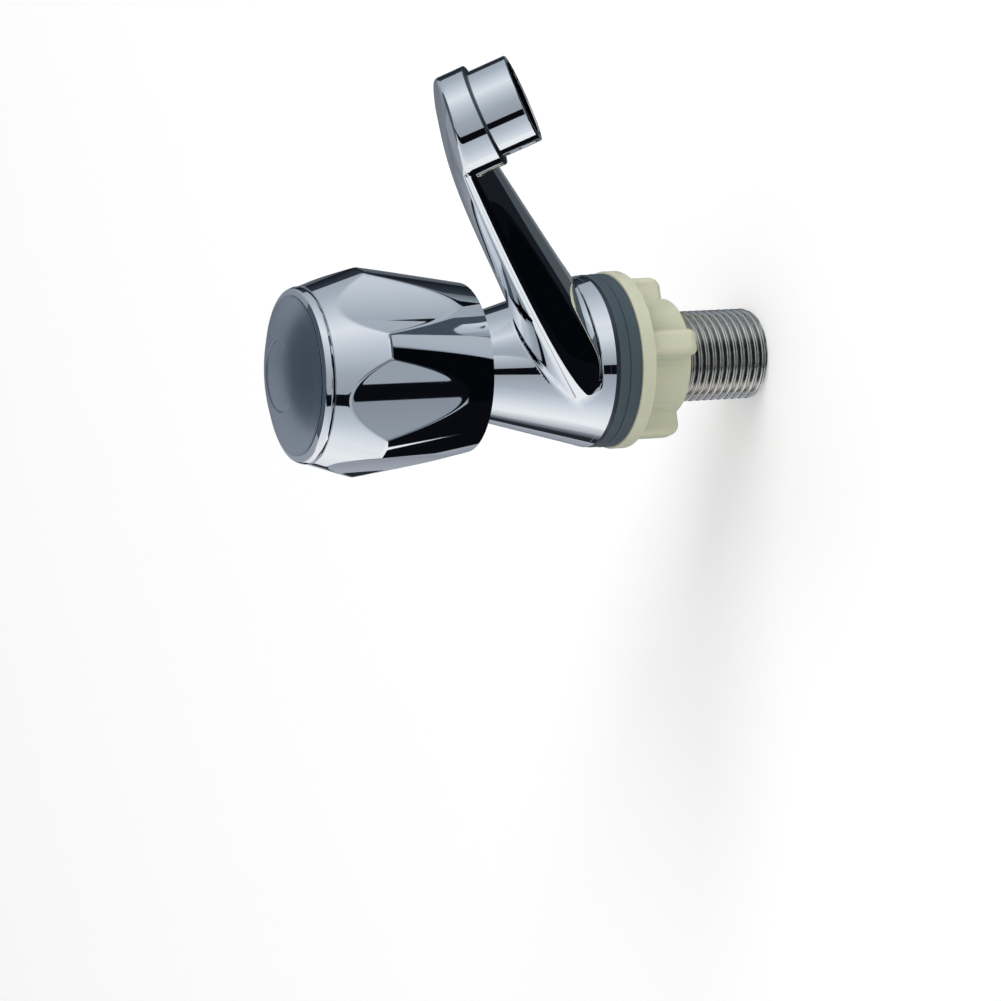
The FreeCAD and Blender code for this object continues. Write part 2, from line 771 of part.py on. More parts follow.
PARTS = {
    "tap_body": make_tap_body,
    "inlet_tail": make_inlet_tail,
    "base_washer": make_base_washer,
    "clamp_washer": make_clamp_washer,
    "back_nut": make_back_nut,
    "outlet_nozzle": make_outlet_nozzle,
    "nozzle_washer": make_nozzle_washer,
    "flow_straightener": make_flow_straightener,
    "bonnet_washer": make_bonnet_washer,
    "bonnet": make_bonnet,
    "thrust_washer": make_thrust_washer,
    "gland_nut": make_gland_nut,
    "spindle": make_spindle,
    "spindle_o_rings": make_spindle_o_rings,
    "jumper": make_jumper,
    "jumper_washer": make_jumper_washer,
    "washer_retainer": make_washer_retainer,
    "jumper_nut": make_jumper_nut,
    "knob": make_knob,
    "spline_insert": make_spline_insert,
    "screw_washer": make_screw_washer,
    "handle_screw": make_handle_screw,
    "cap_ring": make_cap_ring,
    "cap": make_cap,
    "cap_disc": make_cap_disc,
}

os.makedirs("parts", exist_ok=True)
for name, make in PARTS.items():
    shape = make()
    solids = len(shape.Solids)
    print(f"{name}: {solids} solid, {shape.Volume:.1f} mm3, valid {shape.isValid()}")
    shape.exportStep(f"parts/{name}.step")
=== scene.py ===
# %% [markdown]
# # A chromed basin tap, dressed for the studio
#
# The construction model of the tap comes in first, as a fixed frame. Its pieces say where everything
# sits. Each chromed piece that shows gets a finer skin here, because a mirror shows every small facet.

# %% Load the frame
import json
import math

import bpy
import numpy as np
from mathutils import Matrix, Vector

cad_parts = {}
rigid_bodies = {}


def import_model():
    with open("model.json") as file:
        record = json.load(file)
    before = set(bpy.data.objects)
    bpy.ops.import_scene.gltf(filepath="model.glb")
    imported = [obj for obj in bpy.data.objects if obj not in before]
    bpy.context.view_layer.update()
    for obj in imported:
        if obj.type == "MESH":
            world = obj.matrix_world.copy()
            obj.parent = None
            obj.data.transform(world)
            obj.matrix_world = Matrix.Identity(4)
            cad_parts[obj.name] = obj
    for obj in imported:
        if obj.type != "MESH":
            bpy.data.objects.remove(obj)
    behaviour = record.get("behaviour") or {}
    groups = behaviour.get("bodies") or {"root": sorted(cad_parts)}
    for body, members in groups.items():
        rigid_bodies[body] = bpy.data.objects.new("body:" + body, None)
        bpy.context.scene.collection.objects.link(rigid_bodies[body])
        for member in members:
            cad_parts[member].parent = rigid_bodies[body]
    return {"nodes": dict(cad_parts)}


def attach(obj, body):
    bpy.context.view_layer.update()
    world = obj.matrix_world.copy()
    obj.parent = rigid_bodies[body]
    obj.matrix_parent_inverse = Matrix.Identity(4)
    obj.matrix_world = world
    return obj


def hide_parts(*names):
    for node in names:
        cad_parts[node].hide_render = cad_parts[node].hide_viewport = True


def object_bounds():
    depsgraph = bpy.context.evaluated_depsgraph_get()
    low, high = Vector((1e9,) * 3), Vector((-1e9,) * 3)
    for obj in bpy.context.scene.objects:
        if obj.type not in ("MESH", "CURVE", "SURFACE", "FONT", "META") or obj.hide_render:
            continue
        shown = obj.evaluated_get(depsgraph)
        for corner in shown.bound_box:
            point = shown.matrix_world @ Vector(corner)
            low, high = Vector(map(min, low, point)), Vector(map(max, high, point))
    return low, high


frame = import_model()
cad_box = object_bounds()
scene = bpy.context.scene
scene.view_settings.view_transform = "Standard"
MM = 0.001
print("nodes in the frame:", len(frame["nodes"]))

# %% [markdown]
# ## The sizes that the skins repeat
#
# The skins follow the same rules as the solids, so they start from the same numbers, in millimetres.
# Z runs up the valve axis, the deck is z = 0, and the spout points along +X.

# %% Sizes in millimetres
base_z, base_r, base_rim_h, body_h, body_top_r = 2.6, 19.65, 1.0, 31.0, 11.1
arm_root_x, arm_nose_x = 4.0, 80.0
top_root_h, top_nose_h, top_arch_h = 15.5, 59.2, 1.5
ridge_root_drop, ridge_nose_drop, ridge_arch_h = 10.9, 4.0, 1.0
half_w_root, half_w_nose, shoulder_h, shoulder_in, ridge_in = 17.2, 11.0, 2.9, 0.9, 0.5
keel_root_h, keel_start_x, keel_slope, keel_soft, keel_turn_share = 3.4, 17.2, 0.765, 3.0, 0.22
keel_half_root, keel_half_nose, arm_least_h = 12.0, 5.5, 8.1
keel_flare, keel_flare_reach, keel_flare_turn_drop = 4.6, 16.0, 0.14
nozzle_tilt, nose_r, nozzle_r, nozzle_len, socket_r = math.radians(36.0), 11.1, 9.6, 8.6, 8.7
nose_rim = np.array([86.3, 0.0, 54.0])
out_axis = np.array([math.sin(nozzle_tilt), 0.0, -math.cos(nozzle_tilt)])
back_axis = np.array([-math.cos(nozzle_tilt), 0.0, -math.sin(nozzle_tilt)])
knob_z, knob_h, knob_wide_h = 33.4, 37.8, 26.0
knob_rear_r, knob_wide_r, knob_front_r = 19.23, 23.87, 19.85
tail_len, tail_bore_r, spigot_r, spigot_top_z = 39.8, 7.0, 9.9, 10.6
print("outlet axis:", out_axis.round(3))

# %% [markdown]
# ## The camera
#
# The photo looks along the deck at the tap, which was turned onto its side in the picture. A camera that
# looks from azimuth 55 and elevation 23.5 degrees, and rolls with the tap, gives that view. Its long lens
# keeps the rings nearly round. The place comes from the width of the threaded tail in the picture.

# %% Camera
elevation, roll, turn = math.radians(23.47), math.radians(3.73), math.radians(55.0)
far_mm, aim_right_mm, aim_up_mm = 900.0, 19.1, 31.9
picture_px, focal_px, sensor_mm = 1001, 3926.7, 36.0
flat = math.cos(elevation)
tap_up = Vector((-flat * math.cos(roll), -flat * math.sin(roll), math.sin(elevation)))
side = Vector((-math.sin(roll), math.cos(roll), 0.0))
side = (side - side.dot(tap_up) * tap_up).normalized()
toward = side.cross(tap_up)
if toward.z < 0:
    toward = -toward
tap_x = math.cos(turn) * side + math.sin(turn) * toward
tap_y = tap_up.cross(tap_x)
to_tap = Matrix((tap_x, tap_y, tap_up))
camera = bpy.data.objects.new("camera", bpy.data.cameras.new("camera"))
scene.collection.objects.link(camera)
scene.camera = camera
camera.data.lens = sensor_mm * focal_px / picture_px
camera.data.sensor_width = sensor_mm
camera.data.clip_start, camera.data.clip_end = 0.01, 20.0
place = to_tap @ Vector((-aim_right_mm, -aim_up_mm, far_mm)) + Vector((0, 0, base_z))
camera.matrix_world = Matrix.Translation(place * MM) @ to_tap.to_4x4()
print("camera at", [round(v, 3) for v in place * MM], "lens", round(camera.data.lens, 1))

# %% [markdown]
# ## Small helpers for colour and nodes
#
# Colours are written as sRGB hex, as a colour picker shows them, and turned to the linear values that
# the renderer uses. One function adds a node, sets its values and links its inputs.

# %% Colour and node helpers
def tint(hex_colour):
    """sRGB hex to linear red, green, blue and alpha."""
    parts = [int(hex_colour[i:i + 2], 16) / 255 for i in (1, 3, 5)]
    return tuple(p / 12.92 if p <= 0.04045 else ((p + 0.055) / 1.055) ** 2.4 for p in parts) + (1.0,)


def add(tree, kind, links=(), values=(), **settings):
    """Adds a node: settings are its own properties, values and links go to its inputs."""
    node = tree.nodes.new(kind)
    for name, value in settings.items():
        setattr(node, name, value)
    for key, value in dict(values).items():
        node.inputs[key].default_value = value
    for key, source in dict(links).items():
        tree.links.new(source, node.inputs[key])
    return node


def new_material(name):
    """An empty node material with its output."""
    material = bpy.data.materials.new(name)
    material.use_nodes = True
    material.node_tree.nodes.clear()
    return material, material.node_tree, add(material.node_tree, "ShaderNodeOutputMaterial")


print("mid grey in linear light:", round(tint("#808080")[0], 3))

# %% [markdown]
# ## White studio
#
# The floor and the world look white to the camera, and to metal that mirrors them, by a Light Path switch,
# and not by stronger lamps. The floor still takes the tap's soft shadow.

# %% World and floor
def seen(tree):
    """1 for camera, glossy and transmission rays, 0 for the light that falls on things."""
    ray = add(tree, "ShaderNodeLightPath").outputs
    first = add(tree, "ShaderNodeMath", {0: ray["Is Camera Ray"], 1: ray["Is Glossy Ray"]},
                operation="MAXIMUM")
    last = add(tree, "ShaderNodeMath", {0: first.outputs[0], 1: ray["Is Transmission Ray"]},
               operation="MAXIMUM")
    return last.outputs[0]


world = bpy.data.worlds.new("white_studio")
scene.world = world
world.use_nodes = True
sky = world.node_tree
sky.nodes.clear()
air_light, air_seen, floor_lift = 0.62, 1.0, 0.25
air = add(sky, "ShaderNodeMapRange", {0: seen(sky)}, {3: air_light, 4: air_seen})
back = add(sky, "ShaderNodeBackground", {"Strength": air.outputs[0]}, {"Color": (1, 1, 1, 1)})
add(sky, "ShaderNodeOutputWorld", {0: back.outputs[0]})

floor_z = cad_box[0][2]
bpy.ops.mesh.primitive_plane_add(size=6.0, location=(0, 0, floor_z))
floor = bpy.context.object
floor.name = "floor"
floor_paint, tree, out = new_material("white_paper_sweep")
paper = add(tree, "ShaderNodeBsdfDiffuse", values={"Color": tint("#EDEDED")})
lift = add(tree, "ShaderNodeMath", {0: seen(tree)}, {1: floor_lift}, operation="MULTIPLY")
glow = add(tree, "ShaderNodeEmission", {"Strength": lift.outputs[0]})
both = add(tree, "ShaderNodeAddShader", {0: paper.outputs[0], 1: glow.outputs[0]})
tree.links.new(both.outputs[0], out.inputs[0])
floor.data.materials.append(floor_paint)
floor.visible_glossy = False
print("floor at", round(floor_z, 4))

# %% [markdown]
# ## Lamps
#
# Big soft lamps far from the tap light the rubber and plastic. The chrome doesn't see them: what it shows
# is set by the cards below.

# %% Lamps
middle = (Vector(cad_box[0]) + Vector(cad_box[1])) / 2


def studio(right, up, near):
    """A point given from the tap's middle: right, up and near as the camera sees them, in metres."""
    return to_tap @ Vector((right, up, near)) + middle


def lamp(name, spot, size, watts):
    """A square soft lamp that looks at the tap and isn't mirrored in it."""
    light = bpy.data.lights.new(name, "AREA")
    light.size, light.energy = size, watts
    thing = bpy.data.objects.new(name, light)
    scene.collection.objects.link(thing)
    thing.location = studio(*spot)
    thing.rotation_euler = (middle - thing.location).to_track_quat("-Z", "Y").to_euler()
    thing.visible_glossy = False
    return thing


lamp("key_lamp", (-0.9, 1.3, 1.2), size=1.2, watts=22.0)
lamp("fill_lamp", (0.6, -0.9, 1.5), size=1.4, watts=9.0)
print("lamps:", len(bpy.data.lights))

# %% [markdown]
# ## Cards round the chrome
#
# A mirror has no look of its own, so a product photographer builds one from white boards, grey boards and
# black flags. Here they are patches of one big ball round the tap. A patch is given by two angles in the
# camera's own axes: one that turns about the line to the right, from the camera over the top to the back,
# and one that leans to the right. Only mirrored rays see them. A dark ball just behind closes the hairlines
# between the patches.

# %% Cards
card_paint, tree, out = new_material("studio_card")
level = add(tree, "ShaderNodeAttribute", attribute_name="level")
shine = add(tree, "ShaderNodeEmission", {"Color": level.outputs["Color"]}, {"Strength": 1.0})
tree.links.new(shine.outputs[0], out.inputs[0])


def card(name, around, lean, colours, far=1.1, steps=24):
    """A ball patch between two turning angles and two leans; its colour changes along the turn."""
    points, faces, shades = [], [], []
    ends = [np.array(tint(c)) for c in colours]
    for i in range(steps + 1):
        share = i / steps
        a = math.radians(around[0] + (around[1] - around[0]) * share)
        place = share * (len(ends) - 1)
        k = min(int(place), len(ends) - 2)
        for j in range(steps + 1):
            b = math.radians(lean[0] + (lean[1] - lean[0]) * j / steps)
            spot = Vector((math.sin(b), math.cos(b) * math.sin(a), math.cos(b) * math.cos(a)))
            points.append(studio(*(spot * far)))
            shades.append(ends[k] + (ends[k + 1] - ends[k]) * (place - k))
    row = steps + 1
    for i in range(steps):
        for j in range(steps):
            faces.append((i * row + j, i * row + j + 1, (i + 1) * row + j + 1, (i + 1) * row + j))
    mesh = bpy.data.meshes.new(name)
    mesh.from_pydata([tuple(p) for p in points], [], faces)
    shade = mesh.color_attributes.new("level", "FLOAT_COLOR", "POINT")
    shade.data.foreach_set("color", np.array(shades, np.float32).ravel())
    mesh.materials.append(card_paint)
    thing = bpy.data.objects.new(name, mesh)
    scene.collection.objects.link(thing)
    thing.visible_camera = thing.visible_diffuse = thing.visible_shadow = False
    thing.visible_transmission = thing.visible_volume_scatter = False
    return thing


def plain(colour):
    """The colour list of a card that has one colour."""
    return [colour, colour]


dark = plain("#0A0C12")
front = (-28, 48, ["#9AA1AA", "#A4ADB7", "#C4CCD5", "#E6EAF0"])
above = (48, 126, ["#E6EAF0", "#C9D1DA", "#AEB7C2", "#A3ACB6"])
beyond = (126, 150, ["#353C46", "#14171C"])
behind = (150, 180, ["#4A5159", "#7B828C"])
ring_of_cards = {
    (-90, -60): [(-180, 180, plain("#46525E"))],
    (-60, -28): [
        (-180, -110, ["#8C939D", "#A5AAB4"]), (-110, -42, ["#F2F4F7", "#DDE2E9", "#ABB4BE"]),
        (-42, -28, dark), front, above, (126, 180, ["#A3ACB6", "#7B828C"])],
    (-28, -5): [
        (-180, -162, ["#6F757E", "#A5AAB4"]), (-162, -150, plain("#33363E")),
        (-150, -42, ["#DFE3E9", "#F2F4F7", "#DDE2E9", "#ABB4BE"]), (-42, -28, dark), front, above, beyond,
        behind],
    (-5, 3): [
        (-180, -140, ["#7B828C", "#A5AAB4"]), (-140, -118, ["#24282D", "#24282D", "#8A9199"]),
        (-118, -42, ["#A9B0B9", "#F2F4F7", "#DDE2E9", "#BEC7D1", "#ABB4BE"]),
        (-42, -28, dark), front, above, beyond, behind],
    (3, 12): [
        (-180, -140, ["#7B828C", "#A5AAB4"]), (-140, -121, ["#24282D", "#24282D", "#8A9199"]),
        (-121, -95, plain("#F2F5F8")), (-95, -42, ["#F2F4F7", "#DDE2E9", "#BEC7D1", "#ABB4BE"]),
        (-42, -28, dark), front, above, beyond, behind],
    (12, 28): [
        (-180, -150, plain("#555B60")), (-150, -118, dark), (-118, -95, plain("#F2F5F8")),
        (-95, -22, ["#E6EAF0", "#C9D1DB", "#ABB3BE", "#9AA1AB"]), (-22, -9, dark),
        (-9, 48, ["#99A0A8", "#B8C1C9", "#DDE3E9", "#E8EBF1"]), (48, 108, ["#E8EBF1", "#C9D1DA", "#A3ADB8"]),
        (108, 116, dark), (116, 127, ["#8D97A1", "#62686E"]), (127, 150, beyond[2]),
        (150, 180, ["#3A4148", "#555B60"])],
    (28, 40): [
        (-180, -80, dark), (-80, -58, plain("#9AA3AD")), (-58, -44, dark), (-44, 10, ["#8A929C", "#9CA6B0"]),
        (10, 43, plain("#5A626C")), (43, 88, ["#BCC6D0", "#A8B3BF"]), (88, 108, plain("#6A7178")),
        (108, 180, plain("#1A1E24"))],
    (40, 53): [
        (-180, -72, dark), (-72, -58, plain("#9AA3AD")), (-58, -44, dark), (-44, 10, ["#8A929C", "#9CA6B0"]),
        (10, 43, plain("#5A626C")), (43, 84, plain("#86929B")), (84, 94, plain("#414A56")),
        (94, 108, plain("#71777D")), (108, 180, plain("#1A1E24"))],
    (53, 90): [(-180, 180, plain("#04060A"))],
}
for lean, patches in ring_of_cards.items():
    for low, high, colours in patches:
        card(f"card_{len(scene.objects)}", (low, high), lean, colours, steps=48 if high - low > 200 else 16)
card("card_behind", (-180, 180), (-90, 90), dark, far=1.13, steps=72)

# %% [markdown]
# ## Chrome
#
# Bright chromium over polished brass is a cool grey mirror. It could be a plain metal with no roughness,
# but real plating has faint polishing haze, so a fine noise moves the roughness a little.

# %% Chrome plate
def metal(name, colour, rough_low, rough_high, grain_mm, bump_mm=0.0):
    """A metal whose roughness, and a slight bump, follow a noise of a real grain size."""
    material, tree, out = new_material(name)
    place = add(tree, "ShaderNodeTexCoord")
    noise = add(tree, "ShaderNodeTexNoise", {"Vector": place.outputs["Object"]},
                {"Scale": 1 / (grain_mm * MM), "Detail": 3.0})
    rough = add(tree, "ShaderNodeMapRange", {0: noise.outputs[0]}, {3: rough_low, 4: rough_high})
    body = add(tree, "ShaderNodeBsdfPrincipled", {"Roughness": rough.outputs[0]},
               {"Base Color": tint(colour), "Metallic": 1.0})
    if bump_mm:
        bump = add(tree, "ShaderNodeBump", {"Height": noise.outputs[0]},
                   {"Distance": bump_mm * MM, "Strength": 1.0})
        tree.links.new(bump.outputs[0], body.inputs["Normal"])
    tree.links.new(body.outputs[0], out.inputs[0])
    return material


chrome = metal("polished_chrome_plate", "#F2F4F6", 0.02, 0.05, 6.0)
print("chrome is ready")

# %% [markdown]
# ## The other metals
#
# The cap is plated too, but blasted first, which makes it satin: a wide soft mirror with a fine grain. The
# tail is nickel on turned brass, with the marks of the thread tool. Inside there is plain brass and steel.

# %% Satin, nickel, brass and steel
satin = metal("satin_chrome", "#C9D0D8", 0.26, 0.34, 0.25, 0.004)
nickel = metal("nickel_on_cut_brass", "#D9D6D0", 0.12, 0.24, 0.6, 0.006)
brass = metal("turned_brass", "#C8A45A", 0.22, 0.34, 0.8, 0.004)
zinc = metal("zinc_plated_steel", "#B9BDC2", 0.25, 0.38, 0.7, 0.004)
print("metals:", len([m for m in bpy.data.materials if "card" not in m.name]))

# %% [markdown]
# ## Rubber, plastic and fibre
#
# The two rings are moulded EPDM rubber: grey, dull, with a fine mould grain. The nut is moulded acetal, a
# cream plastic that lets a little light in, so its edges look soft. The small seals inside get the same
# treatment with other colours.

# %% Moulded materials
def moulded(name, colour, other, rough, grain_mm, bump_mm, soak=0.0):
    """A moulded material: two close tones in soft clouds, and a fine grain in its bump."""
    material, tree, out = new_material(name)
    place = add(tree, "ShaderNodeTexCoord")
    cloud = add(tree, "ShaderNodeTexNoise", {"Vector": place.outputs["Object"]}, {"Scale": 1 / (9 * MM)})
    tone = add(tree, "ShaderNodeMixRGB", {0: cloud.outputs[0]}, {1: tint(colour), 2: tint(other)})
    grain = add(tree, "ShaderNodeTexNoise", {"Vector": place.outputs["Object"]},
                {"Scale": 1 / (grain_mm * MM), "Detail": 4.0})
    bump = add(tree, "ShaderNodeBump", {"Height": grain.outputs[0]}, {"Distance": bump_mm * MM})
    body = add(tree, "ShaderNodeBsdfPrincipled", {"Base Color": tone.outputs[0], "Normal": bump.outputs[0]},
               {"Roughness": rough, "Subsurface Weight": soak, "Subsurface Scale": 2 * MM})
    tree.links.new(body.outputs[0], out.inputs[0])
    return material


grey_rubber = moulded("moulded_grey_epdm", "#3C4A52", "#43535B", 0.55, 0.4, 0.02)
cream = moulded("moulded_cream_acetal", "#CDCFB8", "#C3C6AC", 0.38, 0.7, 0.015, 0.25)
black_rubber = moulded("black_nitrile_rubber", "#17181A", "#1D1E20", 0.6, 0.4, 0.02)
black_plastic = moulded("moulded_black_acetal", "#101113", "#16171A", 0.4, 0.5, 0.01)
white_plastic = moulded("white_ptfe", "#E6E6E0", "#DFDFD9", 0.45, 0.5, 0.01)
fibre = moulded("red_vulcanised_fibre", "#8E3A2C", "#7C3226", 0.7, 0.3, 0.03)
print("materials so far:", len(bpy.data.materials))

# %% [markdown]
# ## Helpers that make pieces
#
# Most pieces of a tap are turned, so an outline of radius and height, spun about an axis, gives them. Each
# corner may be rounded. The last helper shades a piece: smooth where it curves, sharp at real edges, with
# normals that follow the large faces, so that a flat face stays flat in its reflections.

# %% Turned pieces
def linked(name, points_mm, faces, material):
    """A mesh object from points in millimetres."""
    mesh = bpy.data.meshes.new(name)
    mesh.from_pydata((np.asarray(points_mm) * MM).tolist(), [], faces)
    mesh.materials.append(material)
    thing = bpy.data.objects.new(name, mesh)
    scene.collection.objects.link(thing)
    return thing


def rounded(outline, steps=5):
    """Turns each (radius, height, round) corner of a closed outline into an arc."""
    points = []
    for i, corner in enumerate(outline):
        here = np.array(corner[:2], float)
        size = corner[2] if len(corner) > 2 else 0.0
        if not size:
            points.append(here)
            continue
        before = np.array(outline[i - 1][:2], float) - here
        after = np.array(outline[(i + 1) % len(outline)][:2], float) - here
        before, after = before / np.linalg.norm(before), after / np.linalg.norm(after)
        half = math.acos(np.clip(before @ after, -1, 1)) / 2
        centre = here + (before + after) / np.linalg.norm(before + after) * size / math.sin(half)
        start, end = here + before * size / math.tan(half), here + after * size / math.tan(half)
        a0 = math.atan2(*(start - centre)[::-1])
        sweep = (math.atan2(*(end - centre)[::-1]) - a0 + math.pi) % (2 * math.pi) - math.pi
        for k in range(steps + 1):
            a = a0 + sweep * k / steps
            points.append(centre + size * np.array([math.cos(a), math.sin(a)]))
    return [tuple(p) for p in points]


def turned(name, outline, material, sides=192, tilted=False):
    """Spins a closed outline about its axis; it runs anticlockwise, radius to the right, height up."""
    outline = rounded(outline)
    angles = np.linspace(0, 2 * math.pi, sides, endpoint=False)
    points, rows = [], []
    for r, h in outline:
        if r < 1e-9:
            rows.append([len(points)] * sides)
            points.append((0.0, 0.0, h))
        else:
            rows.append(list(range(len(points), len(points) + sides)))
            points += [(r * math.cos(a), r * math.sin(a), h) for a in angles]
    faces = []
    for low, high in zip(rows, rows[1:] + rows[:1]):
        for i in range(sides):
            j = (i + 1) % sides
            ring = [low[i], low[j], high[j], high[i]]
            face = [v for k, v in enumerate(ring) if v not in ring[:k]]
            if len(face) > 2:
                faces.append(face)
    points = np.array(points)
    if tilted:
        points = nose_rim + np.outer(points[:, 0], back_axis) + np.outer(points[:, 2], out_axis) \
            + np.outer(points[:, 1], [0, 1, 0])
    return linked(name, points, faces, material)


def settle(thing):
    """Makes the modifiers' result the object's own mesh."""
    seen_now = thing.evaluated_get(bpy.context.evaluated_depsgraph_get())
    shape = bpy.data.meshes.new_from_object(seen_now)
    old, name = thing.data, thing.data.name
    thing.modifiers.clear()
    thing.data = shape
    bpy.data.meshes.remove(old)
    shape.name = name


def shaded(thing, angle=35.0, weighted=True):
    """Smooth shading with sharp real edges; weighted normals keep flat faces flat in a mirror."""
    mesh = thing.data
    mesh.polygons.foreach_set("use_smooth", [True] * len(mesh.polygons))
    mesh.set_sharp_from_angle(angle=math.radians(angle))
    if weighted:
        weigh = thing.modifiers.new("weigh", "WEIGHTED_NORMAL")
        weigh.keep_sharp = True
        settle(thing)
    return thing


def cut(thing, tool, operation="DIFFERENCE"):
    """Cuts a closed piece with another, which is then deleted."""
    knife = thing.modifiers.new("knife", "BOOLEAN")
    knife.solver, knife.operation, knife.object = "MANIFOLD", operation, tool
    bpy.context.view_layer.update()
    settle(thing)
    bpy.data.objects.remove(tool)
    return thing


def placed(thing, body, slot, *nodes):
    """Lets a piece ride on its body, in the place of its CAD nodes."""
    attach(thing, body)
    if nodes:
        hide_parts(*nodes)
    print(f"{thing.name}: {len(thing.data.loop_triangles) or len(thing.data.polygons)} faces on {body}")
    return thing


print("helpers are ready")

# %% [markdown]
# ## The cast body as a rule
#
# The body is a cone, an arm and a round nose that flow into each other. It could be lofted and joined, but
# a mirror shows each kink where two lofts meet. So the body is written as one rule that says how far a
# point is from the skin, below zero inside. Two parts are joined with a soft minimum, which fills their
# corner like a casting's fillet, and an edge is a soft maximum.

# %% Rules of the casting
def soft_max(a, b, size):
    """The larger of two distances, with the edge between them rounded."""
    share = np.clip(0.5 + 0.5 * (a - b) / size, 0, 1)
    return b + (a - b) * share + size * share * (1 - share)


def soft_min(a, b, size):
    return -soft_max(-a, -b, size)


def column(p):
    """Distance from the cone, which starts above its low rim."""
    r = np.hypot(p[:, 0], p[:, 1])
    rise, narrow = body_h - base_rim_h, base_r - body_top_r
    slope = ((r - base_r) * rise + (p[:, 2] - base_z - base_rim_h) * narrow) / math.hypot(rise, narrow)
    wall = soft_max(slope, r - base_r, 0.3)
    low, high = base_z + base_rim_h, base_z + body_h
    return np.maximum(np.maximum(wall, low - p[:, 2]), p[:, 2] - high)


def crown_line(x):
    t = (x - arm_root_x) / (arm_nose_x - arm_root_x)
    return top_root_h + (top_nose_h - top_root_h) * t + top_arch_h * 256 / 27 * t**3 * (1 - t)


def ridge_line(x):
    t = (x - arm_root_x) / (arm_nose_x - arm_root_x)
    root, nose = top_root_h - ridge_root_drop, top_nose_h - ridge_nose_drop
    line = root + (nose - root) * t + ridge_arch_h * 4 * t * (1 - t)
    return np.minimum(line, crown_line(x) - ridge_nose_drop)


def keel_line(x):
    d = x - keel_start_x
    line = keel_root_h + keel_slope * (d + np.sqrt(d * d + keel_soft**2)) / 2
    return np.minimum(line, crown_line(x) - arm_least_h)


def narrowing(root, nose, x):
    return root + (nose - root) * np.minimum((x - arm_root_x) / (arm_nose_x - arm_root_x), 1.0)


def crown(p):
    """Distance from the arm's gently rounded top, which also caps the nose."""
    top, edge = crown_line(p[:, 0]), narrowing(half_w_root, half_w_nose, p[:, 0]) - shoulder_in
    sag = np.maximum(top - ridge_line(p[:, 0]) - shoulder_h, 0.2)
    ball = (edge**2 + sag**2) / (2 * sag)
    return (np.hypot(p[:, 1], p[:, 2] - base_z - top + ball) - ball) / 1.15


def arm(p):
    """Distance from the arm: crown, shoulders, leaning flanks and a narrow rounded keel."""
    x, y, z = p[:, 0], np.abs(p[:, 1]), p[:, 2] - base_z
    ridge, keel, half = ridge_line(x), keel_line(x), narrowing(half_w_root, half_w_nose, x)
    flare = np.exp(-(((x - arm_root_x) / keel_flare_reach) ** 2))
    keel_half = narrowing(keel_half_root, keel_half_nose, x) + keel_flare * flare
    turn_z = keel + (ridge - keel) * (keel_turn_share - keel_flare_turn_drop * flare)
    drop, lean = ridge - turn_z, half - ridge_in - keel_half
    flank = ((y - half + ridge_in) * drop - (z - ridge) * lean) / np.hypot(drop, lean)
    sag = np.maximum(turn_z - keel, 0.05)
    ball = (keel_half**2 + sag**2) / (2 * sag)
    under = (np.hypot(y, z - keel - ball) - ball) / 1.2
    side = soft_max(soft_max(y - half, crown(p), 1.6), flank, 1.2)
    return soft_max(side, under, 0.9)


def on_nozzle(p):
    """Height along the outlet axis and the two distances across it, from the nose's rim."""
    d = p - nose_rim
    return d @ out_axis, d @ back_axis, p[:, 1]


def casting(p):
    """Distance from the whole outer skin of the body."""
    h, x, y = on_nozzle(p)
    nose = soft_max(np.hypot(x, y) - nose_r, h, 0.7)
    nose = soft_max(nose, crown(p), 0.8)
    reach = np.maximum(arm(p), np.maximum(np.maximum(-x, h), arm_root_x - p[:, 0]))
    above = np.clip((p[:, 2] - base_z - ridge_line(p[:, 0])) / 5, 0, 1)
    below_crown = 0.02 + 0.48 * np.clip(-crown(p) / 2, 0, 1)
    return soft_min(soft_min(reach, nose, below_crown), column(p), 0.7 + 0.3 * above)


check = np.array([[0, 0, 20.0], [40, 0, 34.0], [40, 0, 60.0]])
print("inside, inside, outside:", casting(check).round(2))

# %% [markdown]
# ## A skin over the rule
#
# To draw the rule, space is cut into cells of 0.45 mm. Each cell that the skin crosses gets a point,
# and each grid line that pierces the skin gets a face between the four cells round it. The points then
# slide along the rule's slope until they lie on the skin. The normals come from that slope too, so that a
# mirror shows the true surface and not the small faces.

# %% Draw the casting's skin
def slope_of(rule, p, step=0.01):
    """The outward direction of a rule at some points, by small differences."""
    sides = [rule(p + step * axis) - rule(p - step * axis) for axis in np.eye(3)]
    return np.stack(sides, 1) / (2 * step)


